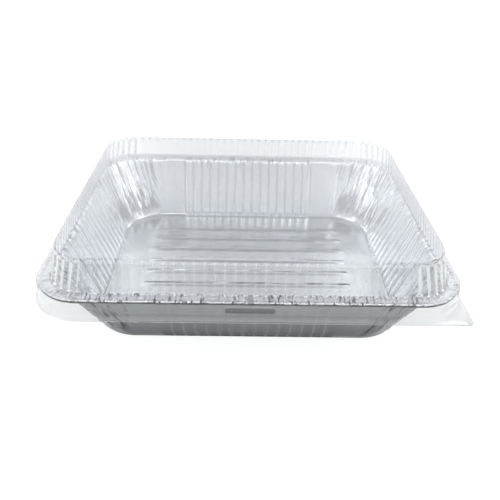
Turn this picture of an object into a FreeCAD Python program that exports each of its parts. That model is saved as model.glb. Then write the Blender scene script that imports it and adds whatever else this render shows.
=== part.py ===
import FreeCAD, Part
import math
import os

# A pressed foil food pan with a clear dome lid snapped over its rolled rim.
# Millimetres. The pan rests on z = 0, its length is along X and its front faces -Y.

# Pan
RIM_LENGTH = 324.0  # over the rolled rim
RIM_WIDTH = 264.0
RIM_CORNER_RADIUS = 36.0
PAN_HEIGHT = 61.0
FOIL_WALL = 0.3
FLANGE_WIDTH = 6.5  # flat ledge between the mouth and the rolled edge
CURL_DIAMETER = 3.0
CURL_SWEEP = 285.0  # degrees that the edge is rolled round
CURL_FLATS = 9  # flat facets that draw the roll
WALL_LEAN = 21.5  # how far each wall leans in from the mouth to the base
BASE_CORNER_RADIUS = 38.0

# Upright flutes pressed into the pan's walls, and the folds gathered in its corners
FLUTE_PITCH = 9.4
FLUTE_GROOVE = 1.4
FLUTE_FLANK = 1.4
FLUTE_DEPTH = 0.9
FLUTE_FOOT = 4.0  # height over which a flute fades into the base
FLUTE_HEAD = 5.0  # height over which a flute fades into the mouth
PLAIN_PANEL_LONG = 22.0  # unfluted wall at each end of a long side
PLAIN_PANEL_SHORT = 12.0
CORNER_FOLDS = 11
FOLD_DEPTH = 1.1

# Stiffening beads pressed up into the base, along X
BEAD_PITCH = 20.0
BEAD_WIDTH = 9.0
BEAD_TOP_WIDTH = 4.5
BEAD_HEIGHT = 0.9
BEAD_END_MARGIN = 34.0  # flat base left beyond the ends of the beads
BEAD_SIDE_MARGIN = 26.0

# Lid
LID_WALL = 0.3
SEAT_GAP = 0.3  # between the lid's ledge and the rim under it
SKIRT_GAP = 1.0  # between the rolled edge and the skirt round it
DOME_SETBACK = 8.7  # from the rim's outside in to the foot of the dome
DOME_HEIGHT = 26.0
DOME_LEAN = 6.3
DOME_CORNER_RADIUS = 27.0
SHOULDER_HEIGHT = 3.5
SHOULDER_RUN = 2.0
LID_FLUTE_PITCH = 7.4
LID_FLUTE_DEPTH = 0.8
LID_CORNER_FLUTES = 6

# Skirt that hangs from the lid's ledge over the pan's rim
SKIRT_DEPTH = 15.5
SKIRT_FLARE = 0.6
BAND_DEPTH = 4.5  # wider band at the skirt's foot
BAND_STEP = 1.2
BAND_STEP_HEIGHT = 2.0
LIP_WIDTH = 1.3
TAB_RADIUS = 5.0  # the one pointed corner, where a thumb lifts the lid

# Snap lugs pressed into the skirt under the rim, in the middle of each long side
LUG_LENGTH = 36.0
LUG_HEIGHT = 3.8
LUG_TAPER = 1.2
LUG_DROP = 4.5  # from the rim's top down to the lug's top
LUG_CLEARANCE = 0.4  # between the lug and the rolled edge, seen from above

# Values worked out from those above
RIM_X = RIM_LENGTH / 2
RIM_Y = RIM_WIDTH / 2
MOUTH_INSET = FLANGE_WIDTH + CURL_DIAMETER
BASE_INSET = MOUTH_INSET + WALL_LEAN
LEDGE_UNDERSIDE = PAN_HEIGHT + SEAT_GAP
LID_TOP = LEDGE_UNDERSIDE + LID_WALL + DOME_HEIGHT
LIP_BOTTOM = PAN_HEIGHT - SKIRT_DEPTH
FLATNESS = 1e-7  # four corners that lie this near one plane make one flat face


def flute_marks(straight, plain):
    """Places along one side of the pan, measured from its middle, each with the depth pressed in there."""
    count = max(1, round((straight - 2 * plain) / FLUTE_PITCH))
    marks = []
    for number in range(count):
        start = (number - count / 2) * FLUTE_PITCH
        marks.append((start + FLUTE_GROOVE / 2, 0.0))
        marks.append((start + FLUTE_GROOVE / 2 + FLUTE_FLANK, FLUTE_DEPTH))
        marks.append((start + FLUTE_PITCH - FLUTE_GROOVE / 2 - FLUTE_FLANK, FLUTE_DEPTH))
        marks.append((start + FLUTE_PITCH - FLUTE_GROOVE / 2, 0.0))
    return marks


def zigzag_marks(straight):
    """Places along one side of the dome, from valley to ridge and back."""
    count = int(straight / LID_FLUTE_PITCH)
    marks = []
    for step in range(2 * count + 1):
        place = (step / 2 - count / 2) * LID_FLUTE_PITCH
        marks.append((place, LID_FLUTE_DEPTH * (step % 2)))
    return marks


def pressed_outline(half_x, half_y, radius, z, marks_x, marks_y, folds, fold_depth, press=1.0):
    """Points round a rounded rectangle, pushed in at its marks and at each corner fold."""
    points = []
    for quarter in range(4):
        along_x = quarter % 2 == 0
        along, across = (half_x, half_y) if along_x else (half_y, half_x)
        local = []
        for place, depth in marks_x if along_x else marks_y:
            local.append((place, across - depth * press))
        for step in range(2 * folds + 1):
            angle = math.radians(90.0 * step / (2 * folds))
            reach = radius - fold_depth * press * (step % 2)
            local.append((along - radius + reach * math.sin(angle), across - radius + reach * math.cos(angle)))
        turn = math.radians(90.0 * quarter)
        for side, out in local:
            x = side * math.cos(turn) + out * math.sin(turn)
            y = side * math.sin(turn) - out * math.cos(turn)
            points.append(FreeCAD.Vector(x, y, z))
    return points


def closed_wire(points):
    return Part.makePolygon(points + [points[0]])


def band(first, second):
    """Flat faces between two rings of as many points: one where the four corners lie flat, else two."""
    faces = []
    for i in range(len(first)):
        j = (i + 1) % len(first)
        a, b, c, d = first[i], first[j], second[j], second[i]
        twist = (b - a).cross(c - a).normalize().dot(d - a)
        if abs(twist) < FLATNESS:
            faces.append(Part.Face(closed_wire([a, b, c, d])))
        else:
            faces.append(Part.Face(closed_wire([a, b, c])))
            faces.append(Part.Face(closed_wire([a, c, d])))
    return faces


def sheet_body(rings):
    """A solid whose skin runs from ring to ring, closed flat at the first and the last."""
    faces = []
    for first, second in zip(rings, rings[1:]):
        faces += band(first, second)
    faces += [Part.Face(closed_wire(rings[0])), Part.Face(closed_wire(rings[-1]))]
    shell = Part.makeShell(faces)
    shell.sewShape()
    solid = Part.makeSolid(shell)
    if solid.Volume < 0:
        solid.reverse()
    return solid


def plate(edge, hole, thickness):
    """A flat sheet between an outer wire and a hole's wire, standing on them."""
    face = Part.makeFace([edge, hole], "Part::FaceMakerBullseye")
    return face.extrude(FreeCAD.Vector(0, 0, thickness))


def rectangle(half_a, half_b, place):
    """The four corners of a rectangle; place turns the two half sizes into a point."""
    return [place(sa * half_a, sb * half_b) for sa, sb in ((1, 1), (-1, 1), (-1, -1), (1, -1))]


def rounded_wire(half_x, half_y, radii, z):
    """A rounded rectangle; the radii belong to the corners +X+Y, -X+Y, -X-Y and +X-Y."""
    signs = ((1, 1), (-1, 1), (-1, -1), (1, -1))
    edges = []
    ends = []
    for corner in range(4):
        sign_x, sign_y = signs[corner]
        radius = radii[corner]
        centre = FreeCAD.Vector(sign_x * (half_x - radius), sign_y * (half_y - radius), z)
        first = 90.0 * corner
        arc = [centre + FreeCAD.Vector(radius * math.cos(math.radians(angle)),
                                       radius * math.sin(math.radians(angle)), 0)
               for angle in (first, first + 45.0, first + 90.0)]
        ends.append(arc)
    for corner in range(4):
        edges.append(Part.Arc(*ends[corner]).toShape())
        edges.append(Part.LineSegment(ends[corner][2], ends[(corner + 1) % 4][0]).toShape())
    return Part.Wire(edges)


def ring_wire(outset, z):
    """The rim's outline moved outwards by outset."""
    return rounded_wire(RIM_X + outset, RIM_Y + outset, [RIM_CORNER_RADIUS + outset] * 4, z)


def tapered_bar(length, width, top_width, height, z):
    """A low ridge along X with sloped sides and ends, standing on z."""
    slope = (width - top_width) / 2
    foot = rectangle(length / 2, width / 2, lambda x, y: FreeCAD.Vector(x, y, z))
    top = rectangle(length / 2 - slope, top_width / 2, lambda x, y: FreeCAD.Vector(x, y, z + height))
    return sheet_body([foot, top])


def tub_rings(inset, floor):
    """Outlines of the drafted, fluted tub from its floor up to its mouth, drawn in by inset."""
    base_x, base_y = RIM_X - BASE_INSET, RIM_Y - BASE_INSET
    mouth_radius = RIM_CORNER_RADIUS - MOUTH_INSET
    marks_x = flute_marks(2 * (base_x - BASE_CORNER_RADIUS), PLAIN_PANEL_LONG)
    marks_y = flute_marks(2 * (base_y - BASE_CORNER_RADIUS), PLAIN_PANEL_SHORT)
    rings = []
    for level, press in ((floor, 0.0), (FLUTE_FOOT, 1.0), (PAN_HEIGHT - FLUTE_HEAD, 1.0), (PAN_HEIGHT, 0.0)):
        share = level / PAN_HEIGHT
        widen = WALL_LEAN * share - inset
        radius = BASE_CORNER_RADIUS + (mouth_radius - BASE_CORNER_RADIUS) * share - inset
        rings.append(pressed_outline(base_x + widen, base_y + widen, radius, level, marks_x, marks_y,
                                     CORNER_FOLDS, FOLD_DEPTH, press))
    return rings


def beads(z):
    """The row of stiffening beads, standing on z."""
    length = 2 * (RIM_X - BASE_INSET - BEAD_END_MARGIN)
    span = 2 * (RIM_Y - BASE_INSET - BEAD_SIDE_MARGIN)
    count = int((span - BEAD_WIDTH) / BEAD_PITCH) + 1
    row = []
    for number in range(count):
        bar = tapered_bar(length, BEAD_WIDTH, BEAD_TOP_WIDTH, BEAD_HEIGHT, z)
        bar.translate(FreeCAD.Vector(0, (number - (count - 1) / 2) * BEAD_PITCH, 0))
        row.append(bar)
    return row


def carry_round(section):
    """A section of (outset from the rim, height) points carried round the corners and along the sides."""
    upright = FreeCAD.Vector(0, 0, 1)
    origin = FreeCAD.Vector(0, 0, 0)
    profile = Part.Face(closed_wire([FreeCAD.Vector(RIM_CORNER_RADIUS + outset, 0, z) for outset, z in section]))
    centres = rectangle(RIM_X - RIM_CORNER_RADIUS, RIM_Y - RIM_CORNER_RADIUS, lambda x, y: FreeCAD.Vector(x, y, 0))
    pieces = []
    for corner, centre in enumerate(centres):
        start = profile.copy()
        start.rotate(origin, upright, 90.0 * corner)
        start.translate(centre)
        pieces.append(start.revolve(centre, upright, 90.0))
        end = profile.copy()
        end.rotate(origin, upright, 90.0 * (corner + 1))
        end.translate(centre)
        pieces.append(end.extrude(centres[(corner + 1) % 4] - centre))
    return pieces[0].fuse(pieces[1:])


def curl_section():
    """The rolled edge's section: a round roll of one thickness, drawn with flats."""
    radius = CURL_DIAMETER / 2

    def roll(reach):
        points = []
        for step in range(CURL_FLATS + 1):
            angle = math.radians(90.0 - CURL_SWEEP * step / CURL_FLATS)
            points.append((reach * math.cos(angle) - radius, PAN_HEIGHT - radius + reach * math.sin(angle)))
        return points

    return roll(radius) + roll(radius - FOIL_WALL)[::-1]


def foil_pan():
    """The pan: one sheet of foil, pressed to shape and rolled over at its edge."""
    outside = tub_rings(0.0, 0.0)
    inside = tub_rings(FOIL_WALL, FOIL_WALL)
    tub = sheet_body(outside + inside[::-1])
    ledge_bottom = PAN_HEIGHT - FOIL_WALL
    mouth = [FreeCAD.Vector(point.x, point.y, ledge_bottom) for point in inside[-1]]
    ledge = plate(ring_wire(-CURL_DIAMETER / 2, ledge_bottom), closed_wire(mouth), FOIL_WALL)
    pan = tub.fuse([ledge, carry_round(curl_section())] + beads(FOIL_WALL))
    return pan.cut(beads(0.0)).Solids[0]


def skirt_section():
    """The section of the lid's ledge end, skirt and foot band, one wall thick."""
    upper = SKIRT_GAP + LID_WALL
    waist = upper + SKIRT_FLARE
    foot = waist + BAND_STEP
    band_top = LIP_BOTTOM + BAND_DEPTH
    waist_height = band_top + BAND_STEP_HEIGHT
    face = [(upper, LEDGE_UNDERSIDE + LID_WALL), (waist, waist_height), (foot, band_top), (foot, LIP_BOTTOM)]
    back = [(outset - LID_WALL, z) for outset, z in face]
    return face + back[::-1]


def dome_rings(inset, top, bottom):
    """Outlines of the fluted dome from its top down to its foot, drawn in by inset."""
    top_inset = DOME_SETBACK + DOME_LEAN
    marks_x = zigzag_marks(2 * (RIM_X - top_inset - DOME_CORNER_RADIUS))
    marks_y = zigzag_marks(2 * (RIM_Y - top_inset - DOME_CORNER_RADIUS))
    levels = (
        (top_inset, top, 0.0),
        (top_inset - SHOULDER_RUN, LID_TOP - SHOULDER_HEIGHT, 1.0),
        (DOME_SETBACK, bottom, 1.0),
    )
    return [pressed_outline(RIM_X - setback - inset, RIM_Y - setback - inset, DOME_CORNER_RADIUS - inset, level,
                            marks_x, marks_y, LID_CORNER_FLUTES, LID_FLUTE_DEPTH, press)
            for setback, level, press in levels]


def lug_blocks(face):
    """Two tapered blocks, front and back, whose narrow ends stand at the distance face from the middle."""
    blocks = []
    middle = PAN_HEIGHT - LUG_DROP - LUG_HEIGHT / 2
    for facing in (-1, 1):
        rings = []
        for trim in (LUG_TAPER, -LUG_TAPER):
            y = facing * (face + LUG_TAPER - trim)
            rings.append(rectangle(LUG_LENGTH / 2 - trim, LUG_HEIGHT / 2 - trim,
                                   lambda x, z: FreeCAD.Vector(x, y, middle + z)))
        blocks.append(sheet_body(rings))
    return blocks


def clear_lid():
    """The lid: one sheet of clear plastic, formed over a mould, with a lip and one pointed corner."""
    ledge_top = LEDGE_UNDERSIDE + LID_WALL
    outside = dome_rings(0.0, LID_TOP, LEDGE_UNDERSIDE)
    inside = dome_rings(LID_WALL, LID_TOP - LID_WALL, LEDGE_UNDERSIDE)
    crown = sheet_body(outside + inside[::-1])
    ledge = plate(ring_wire(SKIRT_GAP + LID_WALL, LEDGE_UNDERSIDE), closed_wire(inside[-1]), LID_WALL)
    section = skirt_section()
    skirt = carry_round(section)
    foot_outset = max(outset for outset, z in section)
    lip_outset = foot_outset + LIP_WIDTH
    round_lip = RIM_CORNER_RADIUS + lip_outset
    lip_edge = rounded_wire(RIM_X + lip_outset, RIM_Y + lip_outset,
                            [round_lip, round_lip, round_lip, TAB_RADIUS], LIP_BOTTOM)
    lip = plate(lip_edge, ring_wire(foot_outset - LID_WALL, LIP_BOTTOM), LID_WALL)
    face = section[:len(section) // 2]
    filled_skirt = carry_round(face + [(0.0, LIP_BOTTOM), (0.0, ledge_top)])
    lug_face = RIM_Y + LUG_CLEARANCE
    bumps = [block.common(filled_skirt) for block in lug_blocks(lug_face)]
    lid = crown.fuse([ledge, skirt, lip] + bumps)
    return lid.cut(lug_blocks(lug_face + LID_WALL)).Solids[0]


os.makedirs("parts", exist_ok=True)
for name, shape in (("foil_pan", foil_pan()), ("clear_lid", clear_lid())):
    print(name, "valid," if shape.isValid() else "not valid,", round(shape.Volume), "mm3,", shape.BoundBox)
    shape.exportStep("parts/" + name + ".step")
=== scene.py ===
# %% [markdown]
# This scene shows a foil food pan closed with a clear dome lid, as a caterer would hand it over.
# The pan is one sheet of aluminium foil, pressed between two dies and rolled over at its edge.
# The lid is one sheet of clear plastic, drawn over a mould by vacuum.
# The solid model is loaded first as a fixed frame. It says where everything is, and nothing here moves it.

import math
import random

import bpy
from mathutils import Matrix, Vector, noise
from mathutils.geometry import delaunay_2d_cdt


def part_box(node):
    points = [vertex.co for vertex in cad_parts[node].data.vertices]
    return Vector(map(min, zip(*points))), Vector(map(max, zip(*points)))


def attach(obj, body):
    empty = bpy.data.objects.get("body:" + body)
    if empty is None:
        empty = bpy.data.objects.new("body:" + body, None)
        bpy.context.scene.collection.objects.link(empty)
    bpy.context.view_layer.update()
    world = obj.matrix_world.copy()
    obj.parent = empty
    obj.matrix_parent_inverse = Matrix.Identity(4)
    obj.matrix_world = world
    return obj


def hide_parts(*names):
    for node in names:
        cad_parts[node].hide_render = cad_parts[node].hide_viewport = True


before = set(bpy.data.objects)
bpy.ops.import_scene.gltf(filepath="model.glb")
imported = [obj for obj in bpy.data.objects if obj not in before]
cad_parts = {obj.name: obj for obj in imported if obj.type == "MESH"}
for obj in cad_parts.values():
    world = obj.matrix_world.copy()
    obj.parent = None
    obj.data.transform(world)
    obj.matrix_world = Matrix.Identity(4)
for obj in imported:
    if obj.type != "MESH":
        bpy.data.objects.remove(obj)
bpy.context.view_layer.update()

# %% [markdown]
# Every size in this scene is in metres. Writing them as multiples of a millimetre keeps them readable.
# The large sizes are read from the two solids, so the looks can't drift away from the construction.
# What the boxes can't tell, such as how far the walls lean, is named here once, as the makers of the
# two press tools would have it on their drawings.

# %% Sizes of the pan
MM = 0.001
pan_low, pan_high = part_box("foil_pan")
RIM_X = pan_high[0]
RIM_Y = pan_high[1]
PAN_TOP = pan_high[2]
RIM_RADIUS = 36 * MM
CURL = 1.5 * MM
LEDGE = 6.5 * MM
WALL_LEAN = 21.5 * MM
BASE_RADIUS = 38 * MM
FOIL = 0.3 * MM
FLOOR_LEVEL = pan_low[2] + FOIL

MOUTH_INSET = LEDGE + 2 * CURL
MOUTH_X = RIM_X - MOUTH_INSET
MOUTH_Y = RIM_Y - MOUTH_INSET
MOUTH_RADIUS = RIM_RADIUS - MOUTH_INSET
BASE_X = MOUTH_X - WALL_LEAN
BASE_Y = MOUTH_Y - WALL_LEAN

FLUTE_PITCH = 9.4 * MM
FLUTE_DEPTH = 1.2 * MM
LONG_FLUTES = 15
SHORT_FLUTES = 11
BEAD_PITCH = 20 * MM
BEAD_WIDTH = 9 * MM
BEAD_HEIGHT = 0.9 * MM
BEADS = 8
BEAD_REACH = BASE_X - 34 * MM
print("pan", RIM_X * 2, RIM_Y * 2, PAN_TOP)

# %% [markdown]
# The lid rests on the pan's ledge, and its skirt hangs outside the rim. The dome stands a little way in from
# the skirt and leans in further as it rises. The box of the lid's solid gives its top, the level of its lip
# and how far the lip reaches; the rest is measured from the pan's rim, which the real lid has to fit.

# %% Sizes of the lid
lid_low, lid_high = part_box("clear_lid")
LID_TOP = lid_high[2]
LIP_LEVEL = lid_low[2]
LIP_REACH = lid_high[0] - RIM_X
LID_SHEET = 0.3 * MM
LEDGE_LEVEL = PAN_TOP + 0.6 * MM
DOME_SETBACK = 8.7 * MM
DOME_LEAN = 6.3 * MM
DOME_RADIUS = 27 * MM
SHOULDER = 3.5 * MM
DOME_WALL = LID_TOP - SHOULDER - LEDGE_LEVEL
LID_PITCH = 7.4 * MM
LID_FLUTE_DEPTH = 0.8 * MM
LID_LONG_FLUTES = 32
LID_SHORT_FLUTES = 24
LID_CORNER_FLUTES = 6
print("lid top", LID_TOP, "lip level", LIP_LEVEL, "lip reach past the rim", LIP_REACH)

# %% [markdown]
# Both sheets are made the same way. Stations are set out round the outline, once, and each station knows
# whether it lies on a straight side or in a corner. A ring is all the stations at one size and height.
# Stacking rings and joining them with quads gives the whole wall, with the columns running down the flutes.
# A subdivision cage would be lighter, but it couldn't follow flutes and folds this fine.

# %% Stations round the pan
# The columns of a flute, as shares of its pitch, are closest in its groove. A side has its number of
# flutes, and of columns on the plain stretch at either end.
PAN_PHASES = (0.0, 0.08, 0.17, 0.3, 0.7, 0.83, 0.92)
PAN_SIDES = ((LONG_FLUTES, 28), (SHORT_FLUTES, 26)) * 2
CORNER_STEPS = 54


def side_stations(quarter, flutes, pitch, phases, plain_steps):
    """One side: a plain stretch, the flutes with a column at each phase, and a plain stretch."""
    reach = flutes * pitch / 2
    stations = []
    for step in range(plain_steps):
        stations.append({"quarter": quarter, "kind": "plain", "share": -1 + step / plain_steps,
                         "reach": reach, "flute": None})
    for number in range(flutes):
        for phase in phases:
            stations.append({"quarter": quarter, "kind": "fluted", "place": -reach + (number + phase) * pitch,
                             "reach": reach, "flute": phase})
    stations.append({"quarter": quarter, "kind": "fluted", "place": reach, "reach": reach, "flute": 0.0})
    for step in range(1, plain_steps):
        stations.append({"quarter": quarter, "kind": "plain", "share": step / plain_steps,
                         "reach": reach, "flute": None})
    return stations


def corner_stations(quarter, steps, flutes=0):
    """The corner after a side; with flutes, each station also knows its place in one."""
    stations = []
    for step in range(steps):
        place = (step * flutes / steps) % 1 if flutes else None
        stations.append({"quarter": quarter, "kind": "corner", "share": step / steps, "flute": place})
    return stations


pan_stations = []
for quarter, (flutes, plain_steps) in enumerate(PAN_SIDES):
    pan_stations += side_stations(quarter, flutes, FLUTE_PITCH, PAN_PHASES, plain_steps)
    pan_stations += corner_stations(quarter, CORNER_STEPS)
PAN_COUNT = len(pan_stations)
print("stations round the pan", PAN_COUNT)

# %% [markdown]
# The same stations serve every ring, whatever its size. The formulas are written for the front side and the
# corner after it, and a quarter turn brings them round to the others. On a plain stretch the columns crowd
# towards the corner, where the folds need them.

# %% Where a station lies
PLAIN_CROWDING = 1.3
QUARTER_TURN = math.pi / 2


def at(station, half_x, half_y, radius):
    """Where a station lies on an outline of this size, and which way is out."""
    along, across = (half_x, half_y) if station["quarter"] % 2 == 0 else (half_y, half_x)
    if station["kind"] == "fluted":
        side, out, facing = station["place"], across, 0.0
    elif station["kind"] == "plain":
        reach = station["reach"]
        tangent = max(along - radius, reach)
        spread = 1 - (1 - abs(station["share"])) ** PLAIN_CROWDING
        side = math.copysign(reach + spread * (tangent - reach), station["share"])
        out, facing = across, 0.0
    else:
        facing = station["share"] * QUARTER_TURN
        side = along - radius + radius * math.sin(facing)
        out = across - radius + radius * math.cos(facing)
    turn = station["quarter"] * QUARTER_TURN
    cos, sin = math.cos(turn), math.sin(turn)
    place = Vector((side * cos + out * sin, side * sin - out * cos, 0))
    normal = Vector((math.sin(turn + facing), -math.cos(turn + facing), 0))
    return place, normal


print("first station at the rim", at(pan_stations[0], RIM_X, RIM_Y, RIM_RADIUS)[0])

# %% [markdown]
# Quads join each ring to the next. Smooth shading hides them, and a Solidify modifier gives the sheet its
# thickness, so that both of its skins always follow the same form. Modelling the two skins apart would let
# them drift into each other. The sheet then rides on its body and stands for one node of the solid model.

# %% Join rings into a sheet
def smooth_step(value):
    """0 up to 0 and 1 from 1 on, with a soft rise between."""
    value = min(max(value, 0.0), 1.0)
    return value * value * (3 - 2 * value)


def stacked_faces(rings, count):
    """Quads between each ring of count points and the next."""
    faces = []
    for ring in range(rings - 1):
        first = ring * count
        second = first + count
        faces += [(second + i, second + (i + 1) % count, first + (i + 1) % count, first + i)
                  for i in range(count)]
    return faces


def sheet_object(name, points, faces, thickness, body, node, underside=0):
    """An object made of one sheet, thickened away from its normals, that stands for a node of the model."""
    mesh = bpy.data.meshes.new(name)
    mesh.from_pydata([tuple(p) for p in points], [], faces)
    mesh.validate()
    mesh.polygons.foreach_set("use_smooth", [True] * len(mesh.polygons))
    sheet = bpy.data.objects.new(name, mesh)
    bpy.context.scene.collection.objects.link(sheet)
    solid = sheet.modifiers.new("thickness", "SOLIDIFY")
    solid.thickness = thickness
    solid.offset = -1
    solid.material_offset = underside
    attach(sheet, body)
    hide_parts(node)
    return sheet


print("quads between two rings round the pan", len(stacked_faces(2, PAN_COUNT)))

# %% [markdown]
# Flutes are pressed into the walls to stiffen them. Each is a broad land with a narrow groove on either side.
# They fade out just above the floor and just under the mouth, where the die has to let the foil go.

# %% Flutes of the pan
GROOVE = 0.24
FLUTE_RUN_OUT = 3.5 * MM


def flute_height(phase):
    """0 in the groove between two flutes, 1 on the land."""
    edge = min(phase, 1 - phase)
    return smooth_step(edge / GROOVE)


def flute_fade(level):
    """0 at the floor and at the mouth, and 1 where the flutes have their full depth."""
    return smooth_step(level / FLUTE_RUN_OUT) * smooth_step((PAN_TOP - level) / FLUTE_RUN_OUT)


print("heights across one flute", [round(flute_height(phase), 2) for phase in PAN_PHASES])

# %% [markdown]
# In the corners there is more foil than the shape needs, so it gathers into folds that run up the wall.
# No two are alike: the sheet crumples where it likes. Each fold gets its own place, width, depth and slant
# from a seeded random generator, so that every run gives the same pan.

# %% Folds gathered in the corners
rng = random.Random(7)


def gathered_folds():
    """The folds of one corner, from one end of its crowded stretch at -1 to the other at 1."""
    folds = []
    place = -1.0
    while place < 1.0:
        folds.append({
            "place": place, "width": rng.uniform(1.6, 3.0) * MM, "depth": rng.uniform(0.9, 2.1) * MM,
            "slant": rng.uniform(-3.0, 3.0) * MM, "low": rng.uniform(0.02, 0.4),
            "wave": rng.uniform(0, 6.3), "lean": rng.uniform(-0.5, 0.5),
        })
        place += rng.uniform(0.05, 0.105)
    return folds


folds_of = [gathered_folds() for corner in range(4)]
print("folds in each corner", [len(folds) for folds in folds_of])

# %% [markdown]
# A fold starts somewhere above the floor and sways a little on its way up. To find how far it pushes the
# wall in, each point first needs its place round the nearest corner, measured along the outline.

# %% Depth of the folds
FOLD_SPREAD = 56 * MM
FOLD_SPREAD_BASE = 31 * MM
FOLD_SWAY = 0.7 * MM


def corner_place(station, half_x, half_y, radius):
    """The nearest corner, and how far a station is from its middle, measured along the outline."""
    along = half_x if station["quarter"] % 2 == 0 else half_y
    half_arc = radius * math.pi / 4
    if station["kind"] == "corner":
        return station["quarter"], (station["share"] - 0.5) * 2 * half_arc
    place, _ = at(station, half_x, half_y, radius)
    turn = station["quarter"] * QUARTER_TURN
    side = place.x * math.cos(turn) + place.y * math.sin(turn)
    if side > 0:
        return station["quarter"], side - (along - radius) - half_arc
    return (station["quarter"] + 3) % 4, side + (along - radius) + half_arc


def fold_spread(share):
    """How far the folds reach to either side of a corner's middle, at this share of the wall's height."""
    return FOLD_SPREAD_BASE + (FOLD_SPREAD - FOLD_SPREAD_BASE) * share


def fold_height(corner, place, share):
    """How far the folds push the wall in, at this place round a corner and share of the wall's height."""
    height = 0.0
    for fold in folds_of[corner]:
        sway = math.sin(share * 5 + fold["wave"]) * FOLD_SWAY
        centre = fold["place"] * fold_spread(share) + fold["slant"] * (share - 0.5) + sway
        away = (place - centre) / fold["width"] + fold["lean"] * 0.3
        if abs(away) < 1:
            run = smooth_step((share - fold["low"]) / 0.25)
            height = max(height, fold["depth"] * (1 - abs(away)) * run)
    return height


print("depth of the folds halfway up, in the middle of each corner",
      [round(fold_height(corner, 0.0, 0.5), 5) for corner in range(4)])

# %% [markdown]
# Foil never lies quite flat. Between the pressed features it carries shallow dents and creases, larger in the
# corners and finer on the ledge. They are built from gradient noise, which is the same each run.

# %% Dents in the foil
def dent(point, size, depth):
    """A shallow rise or hollow, from noise with lumps of about this size."""
    return noise.noise(point / size) * depth


def crease(point, size, depth):
    """Sharp ridges where the noise changes sign, as crumpled foil has."""
    return (1 - abs(noise.noise(point / size)) * 2.4) * depth


print("a dent 40 mm from the middle", dent(Vector((40, 0, 0)) * MM, 16 * MM, 0.3 * MM))

# %% [markdown]
# The wall is described by its share of height, 0 at the floor and 1 at the mouth. It leans out as it rises,
# while the radius of its corners shrinks, and flutes, folds and dents push it in. Displacing the mesh with
# a texture would be quicker to set up, but it couldn't end each flute and fold where the die does.

# %% Wall of the pan
WALL_STEPS = 20


def wall_outline(share, inset=0.0):
    """Half the length and width of the wall, and its corner radius, at this share of its height."""
    half_x = BASE_X + WALL_LEAN * share - inset
    half_y = BASE_Y + WALL_LEAN * share - inset
    radius = BASE_RADIUS + (MOUTH_RADIUS - BASE_RADIUS) * share - inset
    return half_x, half_y, radius


def wall_point(station, share):
    """A point of the wall at this share of its height, pushed in by flutes, folds and dents."""
    level = FLOOR_LEVEL + (PAN_TOP - FLOOR_LEVEL) * share
    outline = wall_outline(share, FOIL)
    place, out = at(station, *outline)
    probe = place + Vector((0, 0, level))
    push = 0.0
    if station["flute"] is not None:
        push += FLUTE_DEPTH * flute_height(station["flute"]) * flute_fade(level)
    corner, away = corner_place(station, *outline)
    near = smooth_step((fold_spread(share) + 4 * MM - abs(away)) / (9 * MM))
    rise = smooth_step(share / 0.06) * smooth_step((1 - share) / 0.04)
    if near > 0:
        push += fold_height(corner, away, share) * near * rise
        push += crease(probe, 6 * MM, 0.45 * MM) * near * rise
    push += (dent(probe, 16 * MM, 0.3 * MM) + dent(probe, 5 * MM, 0.12 * MM)) * rise
    point = place - out * push
    point.z = level
    return point


print("wall at the foot and at the mouth", wall_outline(0.0), wall_outline(1.0))

# %% [markdown]
# At the mouth the foil turns out into a flat ledge, which carries the lid, and then rolls over, down and
# under, so that no sharp edge is left. Gathering the foil into so tight an outline wrinkles the ledge and
# leaves the rolled edge ragged. A swept circle would give the roll, but not its ragged line.

# %% Ledge and rolled edge
LEDGE_DIP = 0.35 * MM
LEDGE_WRINKLE = 2.5 * MM
CROWDED_REACH = 52 * MM
CROWDED_FADE = 22 * MM
CURL_ANGLES = (-45, -15, 10, 30, 50, 65, 80, 95, 110, 130, 160, 200, 240, 285)


def ledge_wrinkle(station, place):
    """Radial wrinkles in the ledge, stronger in the corners."""
    _, away = corner_place(station, RIM_X, RIM_Y, RIM_RADIUS)
    crowded = smooth_step((CROWDED_REACH - abs(away)) / CROWDED_FADE)
    probe = Vector((away / LEDGE_WRINKLE, station["quarter"] * 7.3, place.length / (11 * MM)))
    return noise.noise(probe) * (0.3 + 0.35 * crowded) * MM


def ledge_point(station, reach):
    """A point of the ledge, this far out from the mouth; the ledge dips once more just before the roll."""
    point, _ = at(station, MOUTH_X - FOIL + reach, MOUTH_Y - FOIL + reach, MOUTH_RADIUS - FOIL + reach)
    flat = smooth_step(reach / (1.5 * MM))
    groove = smooth_step((reach - 4.6 * MM) / (1.4 * MM))
    point.z = PAN_TOP - LEDGE_DIP * flat - LEDGE_DIP * groove + ledge_wrinkle(station, point) * flat
    return point


def curl_point(station, turned):
    """A point of the rolled edge, turned by this many degrees from its highest line."""
    angle = math.radians(90 - turned)
    base, out = at(station, RIM_X - CURL, RIM_Y - CURL, RIM_RADIUS - CURL)
    ragged = 1 + 0.22 * noise.noise(base / (3.1 * MM)) + 0.16 * noise.noise(base / (1.3 * MM))
    reach = CURL * ragged
    point = base + out * (reach * math.cos(angle))
    point.z = PAN_TOP - CURL + reach * math.sin(angle)
    return point


print("the rolled edge turns through", CURL_ANGLES[-1] - CURL_ANGLES[0], "degrees")

# %% [markdown]
# The pan's sheet is stacked from the floor's border outwards: the border, the wall, the ledge and the
# edge rolled down and under. The rings lie closest where the foil turns most.

# %% Rings of the pan
# Insets and reaches are in millimetres. The roll's first rings still rise from the ledge and stay bright.
BORDER_INSETS = (16, 12, 8, 4)
LEDGE_REACHES = (0.4, 1.3, 2.6, 3.9, 5.0, 6.0)
RISING_RINGS = 3


def border_point(station, inset):
    """A point of the floor's flat border, this far in from the wall."""
    point, _ = at(station, BASE_X - FOIL - inset, BASE_Y - FOIL - inset, BASE_RADIUS - inset * 0.85)
    point.z = FLOOR_LEVEL
    return point


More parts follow.
